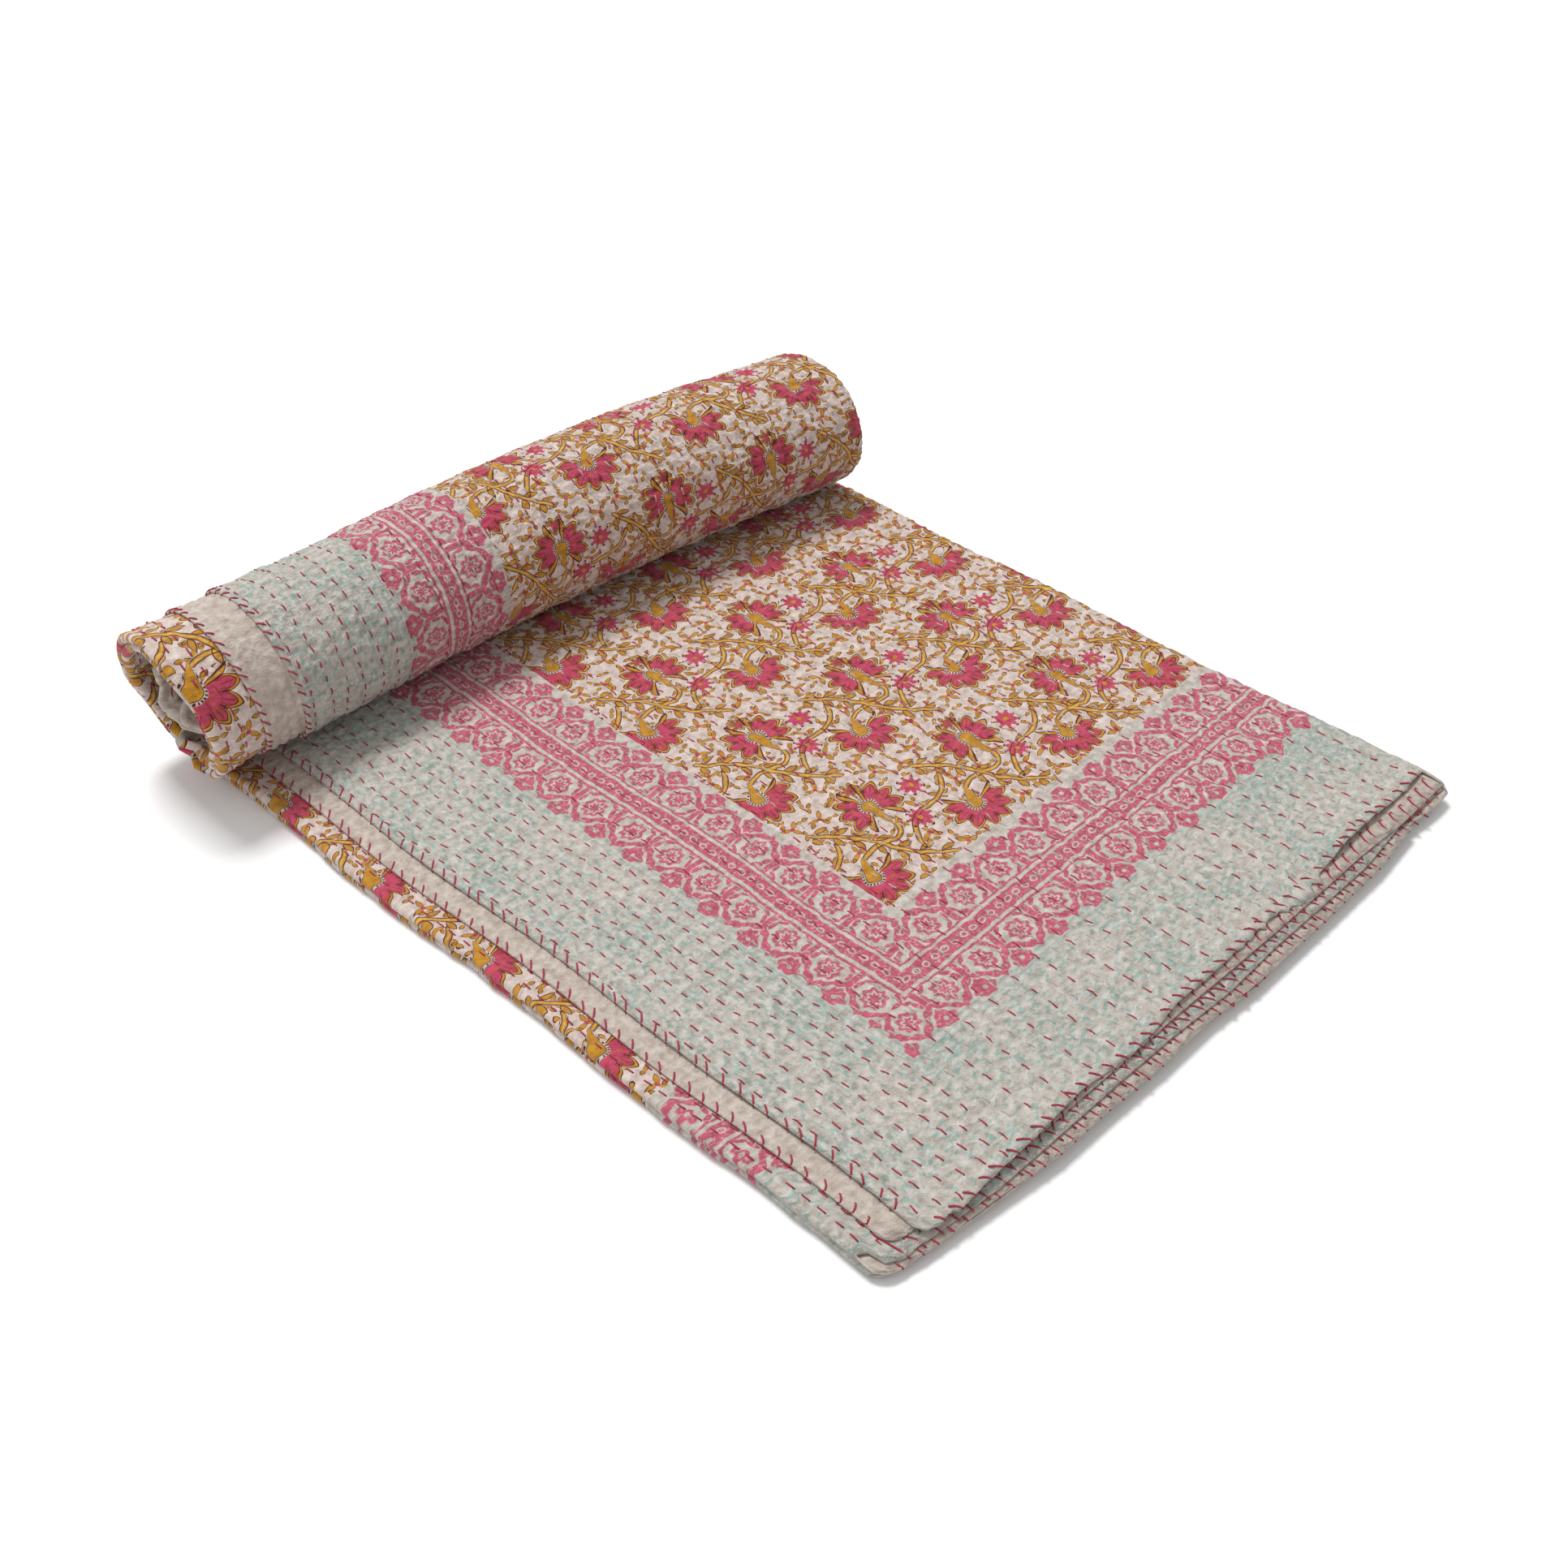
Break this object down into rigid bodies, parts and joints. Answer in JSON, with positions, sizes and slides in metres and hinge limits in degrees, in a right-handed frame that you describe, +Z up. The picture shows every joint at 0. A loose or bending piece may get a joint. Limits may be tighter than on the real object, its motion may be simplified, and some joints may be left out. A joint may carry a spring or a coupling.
{
  "type": "kantha quilt",
  "caption": "Hand-quilted cotton bed cover, folded end to end and across, then half rolled up over its own top.",
  "frame": {"origin": "on the ground, under the middle of the quilt's box", "axes": "+X across the folded width from the open hems to the folds, +Y from the flat front to the roll, +Z up"},
  "size_m": [0.6218, 0.7208, 0.1375],
  "materials": {
    "printed_cotton": "block-printed plain-weave cotton, matt, puckered by rows of running stitch"
  },
  "bodies": {
    "root": {"quilt": "printed_cotton"}
  },
  "joints": []
}
